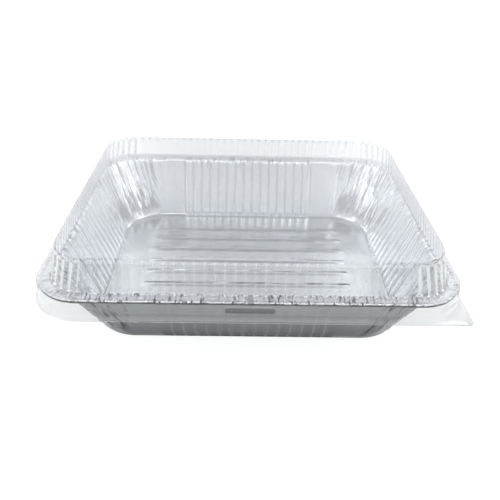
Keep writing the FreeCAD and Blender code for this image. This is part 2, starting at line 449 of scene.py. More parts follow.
def pan_ring(shape, value):
    """All the points of one ring, from the function that shapes its part of the sheet."""
    return [shape(station, value) for station in pan_stations]


pan_rings = [pan_ring(border_point, inset * MM) for inset in BORDER_INSETS]
pan_rings += [pan_ring(wall_point, step / WALL_STEPS) for step in range(WALL_STEPS + 1)]
pan_rings += [pan_ring(ledge_point, reach * MM) for reach in LEDGE_REACHES]
pan_rings += [pan_ring(curl_point, angle) for angle in CURL_ANGLES]
WALL_RINGS = range(len(BORDER_INSETS), len(BORDER_INSETS) + WALL_STEPS + 1)
CURL_RINGS = range(len(pan_rings) - len(CURL_ANGLES) + RISING_RINGS, len(pan_rings))
print("rings of the pan", len(pan_rings))

# %% [markdown]
# The floor is stiffened by beads pressed up along its length. A plain grid carries them, because they run
# straight, with more rows on the flanks of each bead than between the beads.

# %% Floor with its beads
GRID_X = BEAD_REACH + 6 * MM
GRID_Y = (BEADS - 1) / 2 * BEAD_PITCH + BEAD_WIDTH / 2 + 3 * MM
GRID_STEPS_X = 44
# Rows of the grid in millimetres from the middle of a bead.
BEAD_ROWS = (-10, -6.5, -4.6, -3.8, -3.0, -2.2, -1.2, 0, 1.2, 2.2, 3.0, 3.8, 4.6, 6.5)
bead_centres = [(number - (BEADS - 1) / 2) * BEAD_PITCH for number in range(BEADS)]
grid_rows = [centre + row * MM for centre in bead_centres for row in BEAD_ROWS if centre + row * MM > -GRID_Y]
grid_rows = [-GRID_Y] + grid_rows + [GRID_Y]
GRID_STEPS_Y = len(grid_rows) - 1


def bead_height(x, y):
    """How far a bead lifts the floor at this place."""
    row = round(y / BEAD_PITCH - 0.5) + 0.5
    if abs(row) > (BEADS - 1) / 2:
        return 0.0
    across = abs(y - row * BEAD_PITCH) / (BEAD_WIDTH / 2)
    end = (BEAD_REACH - abs(x)) / (3 * MM)
    return BEAD_HEIGHT * smooth_step((1 - across) * 1.1) * smooth_step(end)


def floor_point(x, y):
    """A point of the floor, lifted by its beads and dented except at the grid's edge."""
    flat = Vector((x, y, 0))
    inside = smooth_step((1 - max(abs(x) / GRID_X, abs(y) / GRID_Y)) * 8)
    wave = (dent(flat, 24 * MM, 0.25 * MM) + dent(flat, 7 * MM, 0.1 * MM)) * inside
    return Vector((x, y, FLOOR_LEVEL + bead_height(x, y) + wave))


def floor_faces(start):
    """The quads of the grid, whose points start at this number."""
    row = GRID_STEPS_X + 1
    corners = [start + j * row + i for j in range(GRID_STEPS_Y) for i in range(GRID_STEPS_X)]
    return [(corner, corner + 1, corner + row + 1, corner + row) for corner in corners]


grid_columns = [(2 * i / GRID_STEPS_X - 1) * GRID_X for i in range(GRID_STEPS_X + 1)]
floor_points = [floor_point(x, y) for y in grid_rows for x in grid_columns]
print("points in the floor's grid", len(floor_points))

# %% [markdown]
# The grid has straight edges and the innermost ring has round corners, and they have different numbers of
# points. Both lie flat, so a Delaunay triangulation can join them. Bridging them by hand would need quads
# of very uneven sizes. The triangles fill the whole ring, so a flat layer also lies across the beaded grid.

# %% The foil as one sheet
def border_faces(points, ring, edge):
    """Flat triangles that fill the innermost ring and use the points of the grid's edge."""
    loop = ring + edge
    flat = [points[number].xy for number in loop]
    lines = [(i, (i + 1) % len(ring)) for i in range(len(ring))]
    lines += [(len(ring) + i, len(ring) + (i + 1) % len(edge)) for i in range(len(edge))]
    faces = delaunay_2d_cdt(flat, lines, [], 4, 1e-7)[2]
    return [tuple(loop[number] for number in face) for face in faces]


def grid_edge(start):
    """The numbers of the points round the grid's edge, counter-clockwise."""
    row = GRID_STEPS_X + 1
    last = GRID_STEPS_Y * row
    bottom = [start + i for i in range(row)]
    right = [start + j * row + GRID_STEPS_X for j in range(1, GRID_STEPS_Y)]
    top = [start + last + i for i in reversed(range(row))]
    left = [start + j * row for j in reversed(range(1, GRID_STEPS_Y))]
    return bottom + right + top + left


pan_points = [point for ring in pan_rings for point in ring]
grid_start = len(pan_points)
pan_points += floor_points
pan_faces = stacked_faces(len(pan_rings), PAN_COUNT) + floor_faces(grid_start)
pan_faces += border_faces(pan_points, list(range(PAN_COUNT)), grid_edge(grid_start))
foil = sheet_object("pressed_foil", pan_points, pan_faces, FOIL, "pan", "foil_pan", 1)
print("faces in the foil", len(foil.data.polygons))

# %% [markdown]
# Down in a groove or fold, and on the sides of the beads, the metal mirrors more metal than light and looks
# darker. Light bounces between such close walls more often than a render can follow cleanly, so this is
# painted shade, put into the colour where it happens. The next functions give each point a number from 0,
# open, to about 1, hidden, which says how much painted shade it gets.

# %% Dark sides of the beads
# Painted shade: a little over the whole floor, more on the beads' rear flanks and on the rear beads' tops.
FLOOR_SHADE = 0.08
DIM_BEAD = 0.42


def bead_flank_shade(x, y):
    """Painted shade, up to 1 on the flank of a bead that faces the back of the pan, most of all on the beads
    in front.
    """
    drop = bead_height(x, y - 0.8 * MM) - bead_height(x, y + 0.8 * MM)
    broken = 0.7 + 1.1 * noise.noise(Vector((x / (11 * MM), y / (20 * MM), 0)))
    return broken * smooth_step(drop / (0.34 * MM)) * (1 - 0.8 * smooth_step((y + 30 * MM) / (50 * MM)))


def bead_shade(x, y):
    """Painted reflection: shade on the tops of the beads at the back, where they mirror the dark inside of
    the front wall.
    """
    y -= 1.5 * MM + 1.6 * MM * noise.noise(Vector((x / (9 * MM), y / (6 * MM), 0)))
    row = round(y / BEAD_PITCH - 0.5) + 0.5
    across = abs(y - row * BEAD_PITCH) / (4 * MM)
    reach = smooth_step((BEAD_REACH + 2 * MM - abs(x)) / (6 * MM))
    return DIM_BEAD * smooth_step(1.6 - across) * reach * smooth_step((y - 2 * MM) / (25 * MM))


print("shade on the rear bead", round(bead_shade(0.0, bead_centres[-1]), 2))

# %% [markdown]
# The inside of the wall gets painted shade at its foot, in the grooves between its flutes and down in the
# corner folds. The rolled edge gets a painted shadow underneath, with a line as ragged as the edge itself.

# %% Dark grooves inside
GROOVE_SHADE = 0.26
FOOT_SHADE = 0.45
FOLD_SHADE = 0.65


def under_curl(point):
    """Painted shadow: 1 below the widest line of the rolled edge."""
    ragged = 0.42 + 0.6 * noise.noise(Vector((point.x, point.y, 0)) / (2.3 * MM))
    return smooth_step((PAN_TOP - point.z - CURL * ragged) / (0.3 * MM))


def painted_shade_inside(station, ring, point, height, near):
    """How much painted shade a point of the wall or of the rolled edge gets, from 0 to 1, down in a groove or
    fold.
    """
    if ring in CURL_RINGS:
        return under_curl(point)
    if ring not in WALL_RINGS:
        return 0.0
    groove = 0.0
    if station["flute"] is not None:
        groove = GROOVE_SHADE * (1 - flute_height(station["flute"])) * flute_fade(point.z)
    share = (ring - WALL_RINGS[0]) / WALL_STEPS
    corner, away = corner_place(station, *wall_outline(share))
    fold = smooth_step(1 - fold_height(corner, away, share) / (0.5 * MM))
    fold *= near * smooth_step(height * 6) * smooth_step((1 - height) * 12)
    foot = FOOT_SHADE * smooth_step(1 - share * 14)
    return max(groove, foot, FOLD_SHADE * fold)


print("rings that count as wall", WALL_RINGS, "and as rolled edge", CURL_RINGS)

# %% [markdown]
# Outside, the wall looks calmer than inside, with a few sharp creases that run down beside each corner,
# painted as dark lines of shade. Little light reaches its foot, where it leans in over the table, and the
# strip right under the rim, so both get painted shade as well.

# %% Dark creases outside
# Each crease is a painted line of shade, with its place round the corner in millimetres, and the shares of
# height between which it runs.
OUTER_CREASES = ((24.0, 0.05, 0.6), (19.0, 0.35, 0.6), (16.0, 0.62, 0.97),
                 (-27.0, 0.05, 0.5), (-23.0, 0.6, 0.9), (-19.0, 0.2, 0.5))
LOW_WALL_SHADE = 0.65


def outer_shade(station, ring):
    """Painted shade, up to 1 on the few sharp creases outside a corner and under the rim, and less on the
    lower wall.
    """
    if ring not in WALL_RINGS:
        return 0.0
    share = (ring - WALL_RINGS[0]) / WALL_STEPS
    _, away = corner_place(station, *wall_outline(share))
    dark = 0.0
    for place, low, high in OUTER_CREASES:
        centre = place * MM * (1 + 0.45 * share) + noise.noise(Vector((place, share * 5, 0))) * 2 * MM
        run = smooth_step((share - low) * 12) * smooth_step((high - share) * 12)
        dark = max(dark, run * smooth_step(1.9 - abs(away - centre) / (0.9 * MM)))
    low_wall = LOW_WALL_SHADE * smooth_step(1 - share / 0.8)
    ragged = 0.8 + 0.5 * noise.noise(Vector((away / (2.3 * MM), station["quarter"], 0)))
    under_rim = ragged * smooth_step((share - 0.8) / 0.05)
    return max(dark, low_wall, under_rim)


print("creases outside each corner", len(OUTER_CREASES))

# %% [markdown]
# The finish also has to know where the foil is crowded, where the rim is, and how far round the rim a point
# lies, because the finest creases are left to bump. It also needs the painted shade inside and outside.
# All of this is stored on the mesh, point by point.
# An image map would need the sheet unwrapped, and would blur at the folds.

# %% Marks for the finish
RIM_WRINKLE = 2.1 * MM
QUARTER_SHIFT = 61.7
FLOOR_CRUMPLE = 0.03
WALL_CRUMPLE = 0.04
CORNER_CRUMPLE = 0.7


def floor_marks(point):
    """The marks of a point of the floor, which is hardly crowded and far from the rim, with its painted
    shade.
    """
    shade = max(bead_flank_shade(point.x, point.y), bead_shade(point.x, point.y))
    return FLOOR_CRUMPLE, 0.0, FLOOR_SHADE + shade, 0.0, (0.0, 0.0, 0.0)


def ring_marks(number, point):
    """How crowded the foil is, whether this is the rim, its painted shade inside and outside, and its place.
    """
    station = pan_stations[number % PAN_COUNT]
    ring = number // PAN_COUNT
    _, away = corner_place(station, RIM_X, RIM_Y, RIM_RADIUS)
    height = point.z / PAN_TOP
    near = smooth_step((26 * MM + 34 * MM * height - abs(away)) / (14 * MM))
    on_rim = smooth_step((point.z - PAN_TOP + 4 * MM) / (2 * MM))
    crowding = WALL_CRUMPLE + CORNER_CRUMPLE * near * smooth_step(height * 8) * (1 - on_rim)
    turn = station["quarter"] * QUARTER_SHIFT
    round_rim = (away / RIM_WRINKLE + turn, point.xy.length / (9 * MM), turn)
    inside = painted_shade_inside(station, ring, point, height, near)
    return crowding, on_rim * (0.95 - 0.15 * near), inside, outer_shade(station, ring), round_rim


def mark(mesh, name, values, kind="FLOAT"):
    """Stores values on the points of a mesh."""
    stored = mesh.attributes.new(name, kind, "POINT")
    stored.data.foreach_set("value" if kind == "FLOAT" else "vector", values)


def mark_foil():
    """Works out the marks of every point of the foil and stores them."""
    marks = [ring_marks(number, point) if number < grid_start else floor_marks(point)
             for number, point in enumerate(pan_points)]
    crowds, rims, hollows, outer, rounds = (list(column) for column in zip(*marks))
    mark(foil.data, "crowding", crowds)
    mark(foil.data, "rim", rims)
    # The hollow mark holds the painted shade inside, the next one the painted shade outside.
    mark(foil.data, "hollow", hollows)
    mark(foil.data, "outer_painted_shade", outer)
    mark(foil.data, "round_rim", [value for place in rounds for value in place], "FLOAT_VECTOR")


mark_foil()
print("marks on the foil", [layer.name for layer in foil.data.attributes if not layer.name.startswith(".")])

# %% [markdown]
# The lid's dome has rounded flutes all the way round, also in its corners, where they fan out and are
# deeper. A thermoformed sheet can't take sharp edges, so each flute is a soft wave that ends in a small
# arch under the shoulder.

# %% Stations and flutes of the lid
FLUTE_STEPS = 8
CORNER_DEEPENING = 1.6
LID_PHASES = [step / FLUTE_STEPS for step in range(FLUTE_STEPS)]
lid_stations = []
for quarter, flutes in enumerate((LID_LONG_FLUTES, LID_SHORT_FLUTES) * 2):
    lid_stations += side_stations(quarter, flutes, LID_PITCH, LID_PHASES, 2)
    lid_stations += corner_stations(quarter, LID_CORNER_FLUTES * FLUTE_STEPS, LID_CORNER_FLUTES)
LID_COUNT = len(lid_stations)


def lid_flute(phase, arch):
    """A rounded flute, 1 on its crest; arch narrows it to nothing as it reaches the shoulder."""
    if phase is None:
        return 0.0
    wave = math.sin(math.pi * phase)
    return max(0.0, wave - (1 - arch)) if arch < 1 else wave


def dome_ring(setback, level, press, arch=1.0):
    """A ring of the dome, this far in from the rim, with its flutes pressed to this share of their depth."""
    ring = []
    for station in lid_stations:
        place, out = at(station, RIM_X - setback, RIM_Y - setback, DOME_RADIUS)
        deep = CORNER_DEEPENING if station["kind"] == "corner" else 1.0
        push = LID_FLUTE_DEPTH * deep * (1 - lid_flute(station["flute"], arch)) * press
        point = place - out * push
        point.z = level
        ring.append(point)
    return ring


print("stations round the lid", LID_COUNT)

# %% [markdown]
# The lid's top is flat, with the slight waviness that such a thin panel always has. Its rings shrink
# towards the middle line, and one face closes the innermost. From the top's edge the dome turns down over
# its shoulder, past the arches of the flutes, and runs down to the ledge.

# %% Top and wall of the dome
TOP_X = RIM_X - DOME_SETBACK - DOME_LEAN
TOP_Y = RIM_Y - DOME_SETBACK - DOME_LEAN
TOP_INSETS = (112, 90, 70, 50, 35, 24, 15, 8, 3, 1.0)
DOME_STEPS = 8
# Each row of the arches lies this far out from the top's edge and this far below the top, in millimetres,
# and has the share of depth that its flutes are pressed to and how far its arch is open.
ARCH_ROWS = ((1.3, 1.4, 0.3, 0.25), (1.7, 2.2, 0.6, 0.45), (1.9, 3.0, 0.85, 0.7))


def top_ring(inset):
    """A ring of the flat top, shrinking towards the middle line."""
    ring = []
    for station in lid_stations:
        place, _ = at(station, TOP_X, TOP_Y, DOME_RADIUS)
        place.x *= 1 - inset / TOP_X
        place.y *= 1 - inset / TOP_Y
        sag = smooth_step(inset / (12 * MM))
        wave = sag * smooth_step((TOP_Y - inset) / (40 * MM))
        place.z = LID_TOP - 0.4 * MM * sag + dent(place, 70 * MM, 0.35 * MM) * wave
        ring.append(place)
    return ring


lid_rings = [top_ring(inset * MM) for inset in TOP_INSETS]
lid_rings.append(dome_ring(DOME_SETBACK + DOME_LEAN, LID_TOP, 0.0))
lid_rings.append(dome_ring(DOME_SETBACK + DOME_LEAN - 0.7 * MM, LID_TOP - 0.5 * MM, 0.0))
arches = {}
for setback, drop, press, arch in ARCH_ROWS:
    arches[len(lid_rings)] = arch
    lid_rings.append(dome_ring(DOME_SETBACK + DOME_LEAN - setback * MM, LID_TOP - drop * MM, press, arch))
for step in range(DOME_STEPS + 1):
    share = step / DOME_STEPS
    setback = DOME_SETBACK + (DOME_LEAN - 2 * MM) * (1 - share)
    lid_rings.append(dome_ring(setback, LID_TOP - SHOULDER - DOME_WALL * share, 1.0))
FLUTED_RINGS = range(len(lid_rings) - DOME_STEPS - 1, len(lid_rings))
print("rings of the dome", len(lid_rings))

# %% [markdown]
# Below the dome the film lies on the pan's ledge, turns down over the rolled edge and hangs outside it as a
# skirt. A shallow lug is pressed in at the middle of the front and of the back, which on the real lid
# catches under the rim. Each ring of the skirt is given by how far out from the rim and how high it lies.

# %% Ledge and skirt of the lid
LUG_REACH = 18 * MM
LUG_LOW = PAN_TOP - 8.3 * MM
LUG_HIGH = PAN_TOP - 4.5 * MM
LUG_OUTSET = 0.7 * MM
SKIRT = (
    (-7.6 * MM, LEDGE_LEVEL),
    (-4 * MM, LEDGE_LEVEL + 0.1 * MM),
    (0.4 * MM, LEDGE_LEVEL),
    (1.1 * MM, LEDGE_LEVEL - 0.3 * MM),
    (1.35 * MM, LEDGE_LEVEL - 1.0 * MM),
    (1.6 * MM, LUG_HIGH + 0.6 * MM),
    (1.65 * MM, LUG_HIGH),
    (1.85 * MM, LUG_LOW),
    (1.9 * MM, LUG_LOW - 0.7 * MM),
    (2.5 * MM, LIP_LEVEL + 5.6 * MM),
    (3.0 * MM, LIP_LEVEL + 4.6 * MM),
    (3.1 * MM, LIP_LEVEL + 0.5 * MM),
    (3.3 * MM, LIP_LEVEL + 0.3 * MM),
)


def on_lug(station, place):
    """Whether a place lies on the width of the front or the rear lug."""
    return station["quarter"] % 2 == 0 and abs(place.x) < LUG_REACH


def skirt_ring(outset, level):
    """A ring of the ledge or skirt, this far out from the rim, and further in on the lugs."""
    ring = []
    for station in lid_stations:
        place, out = at(station, RIM_X + outset, RIM_Y + outset, RIM_RADIUS + outset)
        if on_lug(station, place) and LUG_LOW <= level <= LUG_HIGH:
            place -= out * (outset - LUG_OUTSET)
        place.z = level
        ring.append(place)
    return ring


lid_rings += [skirt_ring(outset, level) for outset, level in SKIRT]
print("rings down to the foot of the skirt", len(lid_rings))

# %% [markdown]
# The skirt ends in a narrow lip. Three of its corners are round and the one at the front right runs out
# to a point, which is the tab that lifts the lid. On that corner the lip's outer ring leaves the skirt.

# %% Lip and tab
TAB_RADIUS = 5 * MM


def runs_to_tab(station):
    """Whether a station lies on the pointed corner or on the plain stretches beside it."""
    share = station.get("share", 0)
    if station["quarter"] == 0:
        return station["kind"] == "corner" or share > 0
    return station["quarter"] == 1 and station["kind"] == "plain" and share < 0


def lip_ring(level):
    """The outer edge of the lip."""
    ring = []
    for station in lid_stations:
        radius = TAB_RADIUS if runs_to_tab(station) else RIM_RADIUS + LIP_REACH
        place, _ = at(station, RIM_X + LIP_REACH, RIM_Y + LIP_REACH, radius)
        place.z = level
        ring.append(place)
    return ring


lid_rings.append(lip_ring(LIP_LEVEL + 0.3 * MM))
lid_points = [point for ring in lid_rings for point in ring]
lid_faces = [tuple(range(LID_COUNT))] + stacked_faces(len(lid_rings), LID_COUNT)
lid = sheet_object("dome_lid", lid_points, lid_faces, LID_SHEET, "lid", "clear_lid")
print("faces in the lid", len(lid.data.polygons))

# %% [markdown]
# Clear film catches the light on the crests of the flutes, round their arches and along the bends of the
# skirt, and there it gets painted white highlights. In the valleys between the flutes, on the skirt and most
# of all on the lugs it gets a painted shade. As on the foil, both are stored point by point for the finish.

# %% Marks on the film
LIP_RING = len(lid_rings) - 1
SKIRT_FOOT = LIP_RING - 2
UNDER_LUG = LIP_RING - 5
LUG_RINGS = (LIP_RING - 7, LIP_RING - 6)
LEDGE_RINGS = range(FLUTED_RINGS.stop, FLUTED_RINGS.stop + 3)
# Painted highlights along the bends of the skirt and the lip.
BENDS = {LIP_RING: 0.3, SKIRT_FOOT: 0.2, UNDER_LUG: 0.06}
SKIRT_SHADE = 0.25


def arch_marks(flute, arch):
    """Painted highlight along the edge of an arch and down the middle of its flute."""
    edge = abs(lid_flute(flute, 1.0) - (1 - arch))
    middle = abs(flute - 0.5)
    return max(smooth_step(1.3 - edge / 0.16), 1.2 * smooth_step(1 - middle / 0.2)), 0.0


def flute_marks(station, number):
    """How much painted highlight and painted shade the film gets on a flute, which depends on how it turns to
    the light.
    """
    middle = abs(station["flute"] - 0.5)
    if station["kind"] == "corner":
        return 0.1 + 0.8 * smooth_step((middle - 0.26) / 0.14), 0.1
    if station["quarter"] % 2 == 1:
        return 0.6, 0.6 * smooth_step((middle - 0.2) / 0.16) * (number % 2)
    crest = 0.1 + 0.22 * smooth_step(1 - middle / 0.14)
    return crest, 0.1 + 0.06 * smooth_step((middle - 0.34) / 0.16)


def film_marks(number, station, place):
    """How much painted highlight and painted shade the film gets at a place of this ring."""
    white, dark = BENDS.get(number, 0.0), 0.0
    if station["flute"] is not None and number in arches:
        white, dark = arch_marks(station["flute"], arches[number])
    if station["flute"] is not None and number in FLUTED_RINGS:
        white, dark = flute_marks(station, number)
    if number in LEDGE_RINGS:
        white = 0.2 if station["kind"] == "corner" else 0.06
    if number >= LEDGE_RINGS.stop:
        dark = SKIRT_SHADE
    if number in LUG_RINGS and on_lug(station, place):
        dark = 1.0
    return white, dark


def mark_lid():
    """Stores the painted highlight and painted shade of the film at each of its points."""
    marks = [film_marks(number, station, place)
             for number, ring in enumerate(lid_rings) for station, place in zip(lid_stations, ring)]
    mark(lid.data, "crest_painted_highlight", [white for white, _ in marks])
    mark(lid.data, "film_painted_shade", [dark for _, dark in marks])


mark_lid()
print("marks on the lid", [layer.name for layer in lid.data.attributes if not layer.name.startswith(".")])

# %% [markdown]
# A material is a tree of nodes. These helpers make a node with its values already set, link nodes by the
# names of their sockets, and stretch one range of values onto another.

# %% Helpers for materials
def node(tree, kind, **values):
    """A new node with these values, each on the socket or the setting of that name."""
    made = tree.nodes.new(kind)
    for name, value in values.items():
        if name in made.inputs:
            made.inputs[name].default_value = value
        else:
            setattr(made, name, value)
    return made


def join(tree, *pairs):
    """Links outputs to inputs, given in pairs of (node, socket name)."""
    for (source, out), (target, into) in pairs:
        tree.links.new(source.outputs[out], target.inputs[into])


def stretch(tree, start=0.0, end=1.0, low=0.0, high=1.0):
    """A node that maps values from start to end onto values from low to high."""
    made = tree.nodes.new("ShaderNodeMapRange")
    for name, value in (("From Min", start), ("From Max", end), ("To Min", low), ("To Max", high)):
        made.inputs[name].default_value = value
    return made


def new_material(name):
    """A new material, its node tree and its main shader."""
    material = bpy.data.materials.new(name)
    material.use_nodes = True
    return material, material.node_tree, material.node_tree.nodes["Principled BSDF"]


print("materials so far", len(bpy.data.materials))

# %% [markdown]
# Bare foil is a bright metal with a soft sheen, because the rolls that finish it leave fine lines.
# Its colour comes from what it mirrors, so the base colour is one pale grey, and its roughness drifts a
# little over the sheet. The outside gets a darker grey than the inside as painted shade, because it leans
# in towards the table and turns away from the light.

# %% Tone of the foil
INSIDE_LEVEL = 0.9
# The outside's darker grey is painted shade.
OUTSIDE_LEVEL = 0.31


def foil_tone(tree, place, level):
    """The grey of the metal and its roughness, which both drift a little over the sheet."""
    def grey(change):
        return (level + change - 0.015, level + change, level + change + 0.015, 1)

    drift = node(tree, "ShaderNodeTexNoise", Scale=45.0, Detail=3.0)
    tone = tree.nodes.new("ShaderNodeValToRGB")
    tone.color_ramp.elements[0].color = grey(-0.05)
    tone.color_ramp.elements[1].color = grey(0.04)
    sheen = stretch(tree, low=0.10, high=0.22)
    join(tree, ((place, "Object"), (drift, "Vector")), ((drift, "Fac"), (tone, "Fac")),
         ((drift, "Fac"), (sheen, "Value")))
    return tone, sheen


def rolling_lines(tree, place):
    """Fine lines from front to back, the way that the foil ran through its rolls."""
    along_roll = node(tree, "ShaderNodeMapping", Scale=(1500, 60, 300))
    fine = node(tree, "ShaderNodeTexNoise", Scale=1.0, Detail=2.0)
    lift = node(tree, "ShaderNodeBump", Strength=0.4, Distance=0.15 * MM)
    join(tree, ((place, "Object"), (along_roll, "Vector")), ((along_roll, "Vector"), (fine, "Vector")),
         ((fine, "Fac"), (lift, "Height")))
    return lift


print("grey of the foil inside", INSIDE_LEVEL, "and outside", OUTSIDE_LEVEL)

# %% [markdown]
# Bump adds the creases that are too fine to model, laid out round the rim so that they run across it.
# The deepest of them also get painted shade, because bump alone doesn't shade a pit. The same function
# makes the finish of both skins: the modifier that thickens the sheet gives its outside the second one.

# %% Finish of the foil
# Painted shade darkens grooves, folds, pits and the marked places towards this colour.
PAINTED_SHADE_COLOUR = (0.02, 0.022, 0.024, 1)
PIT_EDGE = 0.42
PIT_BOTTOM = 0.33


def creases(tree, radial, amount, under, scale, detail, depth):
    """Bump laid out round the rim, as strong as amount says, on top of the bump under it."""
    lumps = node(tree, "ShaderNodeTexNoise", Scale=scale, Detail=detail)
    lift = node(tree, "ShaderNodeBump", Distance=depth)
    join(tree, ((radial, "Vector"), (lumps, "Vector")), ((lumps, "Fac"), (lift, "Height")),
         ((amount, "Fac"), (lift, "Strength")), ((under, "Normal"), (lift, "Normal")))
    return lumps, lift


def hollow_shade(tree, shade_mark, creased):
    """How much painted shade a place gets, from its mark or from the deepest pits of its creases."""
    dark = node(tree, "ShaderNodeAttribute", attribute_name=shade_mark), "Fac"
    for lumps, amount in creased:
        pit = stretch(tree, PIT_EDGE, PIT_BOTTOM)
        marked = node(tree, "ShaderNodeMath", operation="MULTIPLY")
        darker = node(tree, "ShaderNodeMath", operation="MAXIMUM")
        join(tree, ((lumps, "Fac"), (pit, "Value")), ((pit, "Result"), (marked, 0)),
             ((amount, "Fac"), (marked, 1)), ((marked, "Value"), (darker, 0)), (dark, (darker, 1)))
        dark = darker, "Value"
    return dark


def foil_material(name, shade_mark, crumple_depth, level):
    """Foil of this grey, with painted shade where shade_mark says, and crumpled to this depth in its corners.
    """
    material, tree, shader = new_material(name)
    shader.inputs["Metallic"].default_value = 1.0
    place = tree.nodes.new("ShaderNodeTexCoord")
    radial = node(tree, "ShaderNodeAttribute", attribute_name="round_rim")
    crowded = node(tree, "ShaderNodeAttribute", attribute_name="crowding")
    on_rim = node(tree, "ShaderNodeAttribute", attribute_name="rim")
    tone, sheen = foil_tone(tree, place, level)
    crumple, crumpled = creases(tree, radial, crowded, rolling_lines(tree, place), 0.6, 2.0, crumple_depth)
    wrinkle, wrinkled = creases(tree, radial, on_rim, crumpled, 1.25, 0.6, 2.6 * MM)
    dark = hollow_shade(tree, shade_mark, ((wrinkle, on_rim), (crumple, crowded)))
    shade = node(tree, "ShaderNodeMix", data_type="RGBA")
    shade.inputs[7].default_value = PAINTED_SHADE_COLOUR
    join(tree, (dark, (shade, 0)), ((tone, "Color"), (shade, 6)), ((shade, 2), (shader, "Base Color")),
         ((sheen, "Result"), (shader, "Roughness")), ((wrinkled, "Normal"), (shader, "Normal")))
    return material


foil.data.materials.append(foil_material("foil_inside", "hollow", 2.0 * MM, INSIDE_LEVEL))
foil.data.materials.append(foil_material("foil_underside", "outer_painted_shade", 0.6 * MM, OUTSIDE_LEVEL))
print("materials on the foil", [material.name for material in foil.data.materials])

# %% [markdown]
# The clear plastic is so thin that it hardly bends what is seen through it. Glass that refracts would be
# slow and grainy here, so light goes straight through a transparent shader with a faint grey, and the
# angle at which the film is seen mixes in the gloss, more of it where the sheet is seen edge on.

# %% Clear plastic
CLEAR_TINT = (0.95, 0.95, 0.952, 1)
# The darker tint is painted shade.
DARK_TINT = (0.6, 0.605, 0.61, 1)
# The painted highlight of a crest adds this much to the film's share of gloss.
CREST_GLOSS = 0.5


def film_gloss(tree):
    """How much gloss the film shows: more of it edge on, and more where a painted highlight is marked."""
    edge_on = node(tree, "ShaderNodeLayerWeight", Blend=0.5)
    steep = node(tree, "ShaderNodeMath", operation="POWER")
    steep.inputs[1].default_value = 3.0
    share = stretch(tree, low=0.055, high=0.85)
    creased = node(tree, "ShaderNodeAttribute", attribute_name="crest_painted_highlight")
    cloud = node(tree, "ShaderNodeMath", operation="MULTIPLY_ADD")
    cloud.inputs[1].default_value = CREST_GLOSS
    join(tree, ((edge_on, "Facing"), (steep, 0)), ((steep, "Value"), (share, "Value")),
         ((creased, "Fac"), (cloud, 0)), ((share, "Result"), (cloud, 2)))
    return cloud


def film_tint(tree):
    """The faint grey of the film, and a darker grey of painted shade where its mark says."""
    film_painted_shade = node(tree, "ShaderNodeAttribute", attribute_name="film_painted_shade")
    tint = node(tree, "ShaderNodeMix", data_type="RGBA")
    tint.inputs[6].default_value = CLEAR_TINT
    tint.inputs[7].default_value = DARK_TINT
    join(tree, ((film_painted_shade, "Fac"), (tint, 0)))
    return tint


def film_ripple(tree):
    """The soft ripple of a thin film that cooled on its mould."""
    place = tree.nodes.new("ShaderNodeTexCoord")
    ripple = node(tree, "ShaderNodeTexNoise", Scale=38.0, Detail=2.0)
    lift = node(tree, "ShaderNodeBump", Strength=0.12, Distance=1 * MM)
    join(tree, ((place, "Object"), (ripple, "Vector")), ((ripple, "Fac"), (lift, "Height")))
    return lift


def clear_material():
    """Clear film: a see-through shader with a glossy one mixed in."""
    material, tree, film = new_material("clear_plastic")
    film.inputs["Base Color"].default_value = (0.95, 0.955, 0.96, 1)
    film.inputs["Metallic"].default_value = 0.5
    film.inputs["Roughness"].default_value = 0.12
    through = tree.nodes.new("ShaderNodeBsdfTransparent")
    mix = tree.nodes.new("ShaderNodeMixShader")
    join(tree, ((film_ripple(tree), "Normal"), (film, "Normal")), ((film_tint(tree), 2), (through, "Color")),
         ((film_gloss(tree), "Value"), (mix, "Fac")), ((through, "BSDF"), (mix, 1)),
         ((film, "BSDF"), (mix, 2)), ((mix, "Shader"), (tree.nodes["Material Output"], "Surface")))
    return material


lid.data.materials.append(clear_material())
print("material on the lid", lid.data.materials[0].name)

# %% [markdown]
# The pan stands on a white table. A table that is bright enough to look white would also light the pan
# from below and wash out its shading. So its own colour is a mid grey, and it glows only for what is seen:
# straight, mirrored in the foil or through the lid. The pan's shadow still falls on it.

# %% White table
TABLE_COLOUR = (0.41, 0.43, 0.42, 1)
TABLE_GLOW = 0.80
TABLE_SIZE = 6.0


def shows_background(tree):
    """1 for what the camera sees straight, mirrored in a glossy surface or through a clear one."""
    path = tree.nodes.new("ShaderNodeLightPath")
    mirrored = node(tree, "ShaderNodeMath", operation="MAXIMUM")
    either = node(tree, "ShaderNodeMath", operation="MAXIMUM")
    join(tree, ((path, "Is Camera Ray"), (mirrored, 0)), ((path, "Is Glossy Ray"), (mirrored, 1)),
         ((mirrored, "Value"), (either, 0)), ((path, "Is Transmission Ray"), (either, 1)))
    return either


def table_material():
    """A matt grey with a glow that only shows in what is seen."""
    material, tree, shader = new_material("white_table")
    shader.inputs["Base Color"].default_value = TABLE_COLOUR
    shader.inputs["Roughness"].default_value = 0.9
    glow = node(tree, "ShaderNodeEmission", Strength=TABLE_GLOW)
    add = tree.nodes.new("ShaderNodeAddShader")
    pick = tree.nodes.new("ShaderNodeMixShader")
    join(tree, ((shader, "BSDF"), (add, 0)), ((glow, "Emission"), (add, 1)),
         ((shows_background(tree), "Value"), (pick, "Fac")), ((shader, "BSDF"), (pick, 1)),
         ((add, "Shader"), (pick, 2)), ((pick, "Shader"), (tree.nodes["Material Output"], "Surface")))
    return material


bpy.ops.mesh.primitive_plane_add(size=TABLE_SIZE, location=(0, 0, 0))
table = bpy.context.object
table.name = "table"
table.data.materials.append(table_material())
print("table", tuple(table.dimensions))

# %% [markdown]
# Foil shows the room more than itself, so the sky is drawn like a studio: white along the horizon, and
# above it bright strips at both sides with dimmer gaps between them, which draw the flutes and folds.
# One sky serves every kind of ray, so what the foil mirrors is what lights it.

